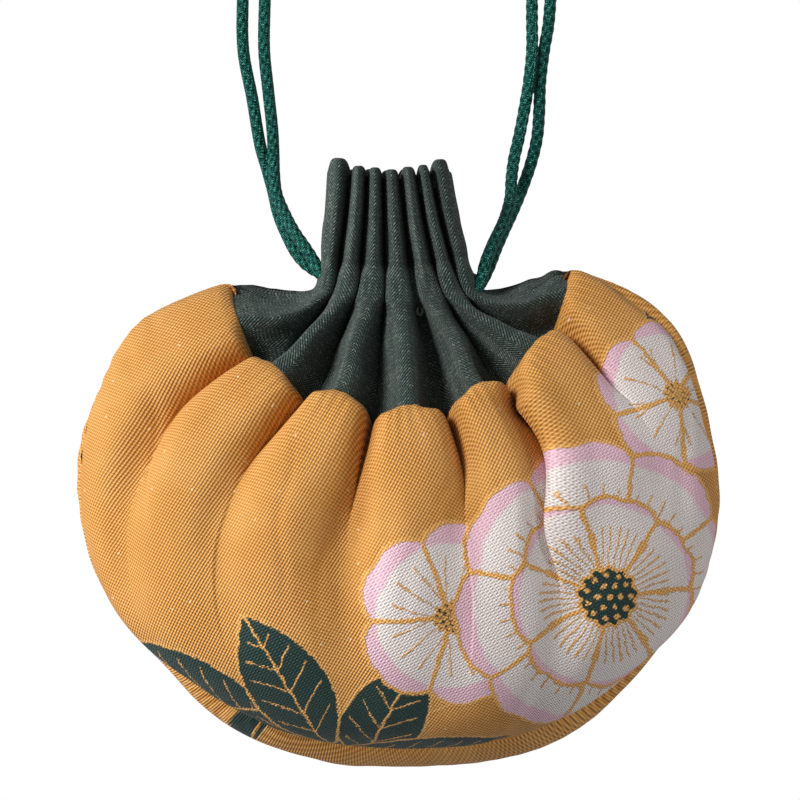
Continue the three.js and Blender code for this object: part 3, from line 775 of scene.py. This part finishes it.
def envelope(level, degrees):
    """Points of the folds' outer envelope."""
    d = np.mod(degrees, 360.0)
    is_front = d <= 180
    angle = np.radians(d)
    box = np.clip(ring_value("box", level), 0, 1)
    turn = np.where(is_front, 1 - d / 90, d / 90 - 3)
    across = np.cos(angle) * (1 - box) + turn * box
    up = np.abs(np.sin(angle)) * (1 - box) + np.clip(1 - turn**4, 0, 1) ** 0.25 * box
    side_y = ring_value("side_y", level)
    far_y = np.where(is_front, ring_value("front_y", level), ring_value("back_y", level))
    rise = np.where(is_front, ring_value("front", level), -ring_value("back", level)) * up
    x = ring_value("centre", level) + ring_value("half", level) * across
    y = side_y + (far_y - side_y) * up + ring_value("tilt", level) * across
    return np.stack([x, y, SEAM_HEIGHT + rise], axis=-1)


def unit(vectors):
    return vectors / np.maximum(np.linalg.norm(vectors, axis=-1, keepdims=True), 1e-9)


def outward(level, degrees):
    """Directions square to the envelope."""
    step = 0.03
    below = envelope(np.minimum(level + step, BOTTOM_LEVEL), degrees)
    above = envelope(np.maximum(level - step, 0), degrees)
    around = envelope(level, degrees + 1) - envelope(level, degrees - 1)
    return unit(np.cross(around, below - above))


def valley_degrees(level):
    """Every valley's angle at each level, on a last axis."""
    past = np.clip(level - SEAM_LEVEL, 0, BOTTOM_LEVEL - SEAM_LEVEL)[..., None]
    drift = VALLEY_DRIFT * smoothstep(0, 1, past / np.maximum(VALLEY_REACH, 0.9))
    above = level[..., None]
    at_top = 1 - smoothstep(0, CORDS_LEVEL, above)
    at_seam = smoothstep(CORDS_LEVEL, SEAM_LEVEL, above)
    return VALLEYS + drift + TOP_DRIFT * at_top + CORD_DRIFT * (1 - at_top - at_seam)


def fold_state(level, degrees):
    """Where a point is in its pleat, from -1 to 1, its pleat's number, and its fold's depth."""
    d = np.mod(degrees, 360.0)
    valleys = valley_degrees(level)
    i = np.clip((d[..., None] >= valleys).sum(axis=-1) - 1, 0, PLEATS - 1)
    low = np.take_along_axis(valleys, i[..., None], axis=-1)[..., 0]
    high = np.take_along_axis(valleys, i[..., None] + 1, axis=-1)[..., 0]
    s = 2 * (d - low) / (high - low) - 1
    past = np.maximum(level - SEAM_LEVEL, 0)

    def depth(valley):
        fade = np.exp(-((past / VALLEY_REACH[valley]) ** 1.6))
        side_fold = NECK_SIDE_FOLD + (SIDE_FOLD - NECK_SIDE_FOLD) * smoothstep(1.5, 2.6, level)
        at_side = valley % PLEATS_A_SIDE == 0
        return ring_value("cuff_fold", level) * np.where(at_side, side_fold, 1.0) * fade

    to_next = smoothstep(0.15, 0.85, (s + 1) / 2)
    # Where the cords run the valleys are drawn shut over them
    drawn_in = 1 - 0.62 * np.exp(-(((level - 1.95) / 0.34) ** 4))
    return s, i, (depth(i) * (1 - to_next) + depth(i + 1) * to_next) * drawn_in


def beside_seam(s, i):
    """Whether a point is in the half of a pleat that meets a side of the pouch."""
    first, last = i % PLEATS_A_SIDE == 0, i % PLEATS_A_SIDE == PLEATS_A_SIDE - 1
    return first & (s < 0) | last & (s > 0)


def cuff_profile(s, i, level):
    """0 in the valleys and 1 on the ridges, which are pressed tubes at the neck and stand apart below it."""
    # The valley between the third and the fourth pleat is wider
    wide = np.where((i == 3) & (s < 0) | (i == 2) & (s > 0), 1 + 0.3 * smoothstep(1, 2, level), 1.0)
    a = np.clip(np.abs(s) * wide, 0, 1)
    # They are pinched shut where the cords run through them
    pinch = bell(level - CORDS_LEVEL, 0.3)
    tube = np.clip(1 - a**2.1, 0, 1) ** (0.72 - 0.4 * pinch)
    ridge = (1 / (1 + (a / 0.50) ** 4.0) - 0.06) / 0.94
    fan = smoothstep(2.3, 3.9, level)
    made = tube * (1 - fan) + ridge * fan
    # The cloth turns smoothly round the pouch's sides
    return np.where(beside_seam(s, i), np.cos(a * math.pi / 2) ** 2, made)


def lobe_profile(s, i, level):
    """The body's lobes: full at the seam with narrow tucks between them, and soft waves below."""
    a = np.abs(s)
    full = np.clip(1 - a**5, 0, 1) ** 0.62
    soft = 1 - bell(1 - a, 0.42)
    blend = smoothstep(4.2, 6.0, level)
    made = full * (1 - blend) + soft * blend
    # The second lobe from the right laps over the third
    lap = plateau(level, 4.05, 4.5, 6.2, 7.4)
    steep = np.clip(1 - a**12, 0, 1) ** 0.35
    gentle = np.clip(1 - a**1.25, 0, 1) ** 1.2
    made = np.where((i == 1) & (s > 0), made * (1 - lap) + steep * lap, made)
    return np.where((i == 2) & (s < 0), made * (1 - lap) + gentle * lap, made)


def folded(level, degrees, profile, extra):
    """Points of the folded cloth. extra lifts them off, square to the envelope."""
    s, i, fold = fold_state(level, degrees)
    normal = outward(level, degrees)
    at_neck = np.clip(ring_value("box", level), 0, 1)
    upright = np.zeros_like(normal)
    upright[..., 2] = np.where(np.mod(degrees, 360.0) <= 180, 1, -1)
    lean = (at_neck * (1 - np.abs(normal[..., 0]) ** 3))[..., None]
    into = unit(normal * (1 - lean) + upright * lean)
    point = envelope(level, degrees) - into * (fold * (1 - profile(s, i, level)))[..., None]
    point += normal * np.asarray(extra)[..., None]
    # The seam between cuff and body reaches up in the middle of each lobe
    seam = np.full_like(level, SEAM_LEVEL)
    up = unit(envelope(seam - 0.25, degrees) - envelope(seam + 0.25, degrees))
    near_seam = bell(level - SEAM_LEVEL, np.where(level < SEAM_LEVEL, 0.75, 0.8))
    arch = 1 - np.where(beside_seam(s, i), 0.1, 1.0) * np.abs(s) ** 7
    point += up * (LOBE_RISE[i] * arch * near_seam)[..., None]
    point[..., 2] = np.maximum(point[..., 2], 0.0)
    return point


def pleat_columns(valleys, pleats, a_pleat, bunching):
    """A grid's angles at each level, so many columns a pleat, which bunch up by the valleys."""
    t = np.arange(a_pleat) / a_pleat * 2 - 1
    t = np.sin(t * math.pi / 2) * bunching + t * (1 - bunching)
    return [valleys[:, k, None] * (1 - t) / 2 + valleys[:, k + 1, None] * (1 + t) / 2 for k in pleats]


def flat_cloth(level, degrees, front):
    """Where a point of a panel lay on the flat cloth, from the dome unrolled round the panel's middle."""
    p = envelope(level, degrees)
    x0, y0 = DOME_MIDDLE
    x, y = p[..., 0] - x0, p[..., 1] - y0
    sunk = (SEAM_HEIGHT + DOME_FRONT - p[..., 2]) if front else p[..., 2] - (SEAM_HEIGHT - DOME_BACK)
    flat = np.hypot(x, y)
    scale = np.sqrt(flat**2 + 1.46 * sunk**2) / np.maximum(flat, 0.5)
    u, v = x0 + x * scale, y0 + y * scale
    # The back was cut from another place of the cloth
    return (u, v) if front else (u + BACK_PLACE[0], v + BACK_PLACE[1])


def panel_relief(level, degrees, t, s, i, u, v):
    """How far a panel's cloth stands out from its folds. t is the share of the way across the panel."""
    from_seam = (level - SEAM_LEVEL) * BODY_LEVEL_MM
    # The lobes puff out below the seam, which is puckered
    puff = 1.3 * (1 - np.abs(s) ** 4) * bell(from_seam - 4.0, 6.0)
    pucker = np.sin(degrees * 1.9 + 3 * noise(degrees / 9, level * 2, 3))
    extra = puff + 0.13 * pucker * np.exp(-np.maximum(from_seam, 0) / 4)
    body = plateau(level, 4.3, 5.5, 9.2, 10)
    extra += body * (0.45 + 0.45 * noise(u / 17, v / 13, 1) + 0.2 * noise(u / 7, v / 9, 2))
    creases = np.abs(noise(u / 5.5 + 0.4 * noise(u / 9, v / 9, 5), v / 26, 7))
    extra -= 0.22 * body * bell(creases, 0.3) * (1 - smoothstep(6.0, 8, level))
    # Each fold runs on down the body as a soft trough between two low swells
    low_fold = plateau(level, 4.8, 6.0, 6.4, 8.4) * np.abs(np.sin(np.radians(degrees)))
    strength = 0.75 + 0.45 * np.sin(i * 2.1 + 0.6)
    extra += strength * (0.25 + 0.75 * np.cos(s * math.pi)) * low_fold
    # The seams at the sides and the bottom are pulled in
    to_side = np.minimum(t, 1 - t) * ring_value("half", level) * math.pi
    to_bottom = (BOTTOM_LEVEL - level) * 9
    extra -= 0.85 * bell(to_side, 1.5) * smoothstep(4.1, 4.6, level)
    extra -= 0.75 * bell(to_bottom, 1.5)
    edge_pull = np.exp(-(np.minimum(to_bottom, to_side) / 3.5))
    return extra + 0.16 * np.sin(u * 1.35 + v * 1.1 + 2 * noise(u / 8, v / 8, 11)) * edge_pull * body


def lap_over(point, level, s, i):
    """Draw the second lobe's edge over the third, in place."""
    lap = plateau(level, 4.1, 4.5, 5.8, 7.0) * (i == 1)
    point[..., 0] -= 2.6 * lap * bell(1 - s, 0.25)
    point[..., 2] += 1.5 * lap * bell(0.8 - s, 0.35)
    under = plateau(level, 4.05, 4.4, 4.9, 6.2) * (i == 2)
    point[..., 2] -= 2.4 * under * bell(s + 1, 0.5)


def seam_shift(level):
    """The right side seam lies this many degrees towards the front."""
    return 5.0 * plateau(level, 4.0, 4.8, 6.5, 9.0)


def panel(name, front, a_pleat, rows):
    """A body panel of seven pleats between two side seams."""
    near = rows // 4
    level_line = np.concatenate(
        [np.linspace(3.95, 4.55, near), np.linspace(4.55, BOTTOM_LEVEL, rows - near + 1)[1:]]
    )
    valleys = valley_degrees(level_line)
    valleys[:, 0 if front else PLEATS] += seam_shift(level_line)
    first = 0 if front else PLEATS_A_SIDE
    last = first + PLEATS_A_SIDE
    spans = pleat_columns(valleys, range(first, last), a_pleat, 0.45)
    degrees = np.hstack([*spans, valleys[:, last, None]])
    columns = degrees.shape[1]
    level = np.repeat(level_line[:, None], columns, axis=1)
    t = (degrees - degrees[:, :1]) / (degrees[:, -1:] - degrees[:, :1])
    s, i, _ = fold_state(level, degrees)
    u, v = flat_cloth(level, degrees, front)
    # The first rows follow the cuff and end a little under it, and the cloth rolls out from there
    from_seam = (level - SEAM_LEVEL) * BODY_LEVEL_MM
    lobes = folded(level, degrees, lobe_profile, panel_relief(level, degrees, t, s, i, u, v))
    tucked = folded(level, degrees, cuff_profile, np.minimum(from_seam, 0) * 1.6 - 0.15)
    rolled = np.sqrt(np.clip(1 - (1 - np.clip(from_seam / 2.0, 0, 1)) ** 2, 0, 1))[..., None]
    point = tucked * (1 - rolled) + lobes * rolled
    lap_over(point, level, s, i)
    obj = make_object(name, to_row(point.reshape(-1, 3)), grid_faces(rows, columns))
    add_uv(obj, "cloth", np.stack([u.ravel(), v.ravel()], axis=1) * MM)
    obj.data.materials.append(body_brocade)
    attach(obj, "root")
    return obj


front_panel = panel("front_panel_sewn", True, 53, 262)
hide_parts("front_panel")
back_panel = panel("back_panel_sewn", False, 37, 180)
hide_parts("back_panel")


def hem_rows(edge, level):
    """The cloth turns over at the top and goes down inside: rows of points from the cuff's first one on."""
    middle = edge.copy()
    middle[..., 2] = SEAM_HEIGHT + np.sign(middle[..., 2] - SEAM_HEIGHT) * 0.4
    rows = []
    for share, rise in HEM:
        ring = edge * (1 - share) + middle * share
        ring[..., 0] += (ring_value("centre", level) - ring[..., 0]) * 0.02 * share / 0.3
        ring[..., 1] += rise
        rows.append(ring)
    return rows


def twill_uv(grid):
    """The twill keeps its scale over each pleat: it is measured along the cloth from the pleat's ridge."""
    span = np.linalg.norm(np.diff(grid, axis=1, append=grid[:, :1]), axis=-1)
    run = np.cumsum(span, axis=1) - span
    pleat = np.arange(grid.shape[1]) // CUFF_COLUMNS
    ridge = pleat * CUFF_COLUMNS + CUFF_COLUMNS // 2
    around = run - run[:, ridge] + pleat * TWILL_SHIFT + 2.1 + 0.9 * np.sin(pleat * 2.3)
    drop = np.linalg.norm(np.diff(grid[:, ridge], axis=0, prepend=grid[:1, ridge]), axis=-1)
    return np.stack([around, np.cumsum(drop, axis=0)], axis=-1).reshape(-1, 2) * MM


def cuff():
    level_line = np.linspace(0, SEAM_LEVEL, CUFF_ROWS)
    degrees = np.hstack(pleat_columns(valley_degrees(level_line), range(PLEATS), CUFF_COLUMNS, 0.8))
    level = np.repeat(level_line[:, None], degrees.shape[1], axis=1)
    s, i, _ = fold_state(level, degrees)
    extra = 0.2 * noise(degrees / 11, level * 2.2, 21) * smoothstep(1.8, 3, level)
    extra += 0.12 * noise(degrees / 5, level * 4, 22) * smoothstep(0.3, 1, level)
    # The pleats are pinched where the cords run through them
    extra -= 0.35 * bell(level - CORDS_LEVEL, 0.16)
    outer = folded(level, degrees, cuff_profile, extra)
    # Each pleat has a rounded end at its own height
    at_side = (i % PLEATS_A_SIDE == 0) | (i % PLEATS_A_SIDE == PLEATS_A_SIDE - 1)
    rounding = np.where(at_side, 1.9, 1.5) * np.abs(s) ** 4
    outer[..., 1] += PLEAT_ENDS[i] * (1 - smoothstep(0, 1.2, level))
    outer[..., 1] -= rounding * (1 - smoothstep(0, 0.35, level))
    grid = np.vstack([*reversed(hem_rows(outer[:1], level[:1])), outer])
    faces = grid_faces(len(grid), grid.shape[1], closed=True)
    obj = make_object("neck_cuff_sewn", to_row(grid.reshape(-1, 3)), faces)
    add_uv(obj, "cloth", twill_uv(grid))
    obj.data.materials.append(cuff_twill)
    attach(obj, "root")
    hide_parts("neck_cuff")


cuff()


EYELET_WIDTH = 0.84
EYELET_HEIGHT = 1.2
EYELET_THREAD = 0.2
EYELET_STITCHES = 14


def eyelet(name, valley, level):
    """A small stitched eyelet of pale thread in a valley of the cuff, where a cord could come out."""
    level = np.array([level])
    degrees = valley_degrees(level)[:, valley]
    centre = folded(level, degrees, cuff_profile, np.array([0.4]))[0]
    turn = np.linspace(0, TURN, 72, endpoint=False)
    around = np.linspace(0, TURN, 10, endpoint=False)
    t, a = np.meshgrid(turn, around, indexing="ij")
    thick = EYELET_THREAD * (1 + 0.3 * np.sin(EYELET_STITCHES * t))
    x = (EYELET_WIDTH / 2 + thick * np.cos(a)) * np.cos(t)
    y = (EYELET_HEIGHT / 2 + thick * np.cos(a)) * np.sin(t)
    z = thick * np.sin(a) + 0.5 * np.cos(t) ** 2
    ring = centre + np.stack([x, y, z], axis=-1).reshape(-1, 3)
    wide = len(around)
    r, c = np.meshgrid(np.arange(len(turn)), np.arange(wide), indexing="ij")
    n, m = (r + 1) % len(turn), (c + 1) % wide
    faces = np.stack([r * wide + c, n * wide + c, n * wide + m, r * wide + m], axis=-1).reshape(-1, 4)
    obj = make_object(name, to_row(ring), faces)
    obj.data.materials.append(thread_pale)
    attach(obj, "root")


eyelet("eyelet_left", 5, 2.36)
eyelet("eyelet_right", 3, 2.34)

filling = bpy.data.objects["scent_filling"]
filling.data.materials.clear()
filling.data.materials.append(filling_wadding)

# World and lights: the camera sees white, and the pouch is lit by a weaker world and four lamps.
WORLD_LIGHT = 0.21
world = bpy.data.worlds.new("world")
bpy.context.scene.world = world
world.use_nodes = True
tree = world.node_tree
background = tree.nodes["Background"]
background.inputs["Color"].default_value = (1, 1, 1, 1)
light_path = tree.nodes.new("ShaderNodeLightPath")
seen_or_lit = tree.nodes.new("ShaderNodeMapRange")
seen_or_lit.inputs["To Min"].default_value = WORLD_LIGHT
seen_or_lit.inputs["To Max"].default_value = 1.0
tree.links.new(light_path.outputs["Is Camera Ray"], seen_or_lit.inputs["Value"])
tree.links.new(seen_or_lit.outputs[0], background.inputs["Strength"])


def area_light(name, place, target, size, power, color):
    """A round lamp. Places and sizes are in metres."""
    data = bpy.data.lights.new(name, "AREA")
    data.shape = "DISK"
    data.size = size
    data.energy = power
    data.color = color
    obj = bpy.data.objects.new(name, data)
    obj.location = place
    aim = Vector(target) - Vector(place)
    obj.rotation_euler = aim.to_track_quat("-Z", "Y").to_euler()
    bpy.context.collection.objects.link(obj)


area_light("key", (-0.52, 0.34, 0.47), (0, 0, 0.015), 0.26, 6.0, (1, 0.985, 0.96))
area_light("rim", (-0.6, -0.1, 0.14), (-0.03, -0.01, 0.015), 0.2, 2.3, (1, 0.99, 0.97))
area_light("right_rim", (0.6, -0.05, 0.22), (0.03, -0.01, 0.015), 0.2, 0.9, (1, 0.99, 0.98))
area_light("fill", (0.5, -0.1, 0.5), (0, 0, 0.015), 0.5, 0.4, (0.97, 0.985, 1))

bpy.context.scene.view_settings.view_transform = "Standard"
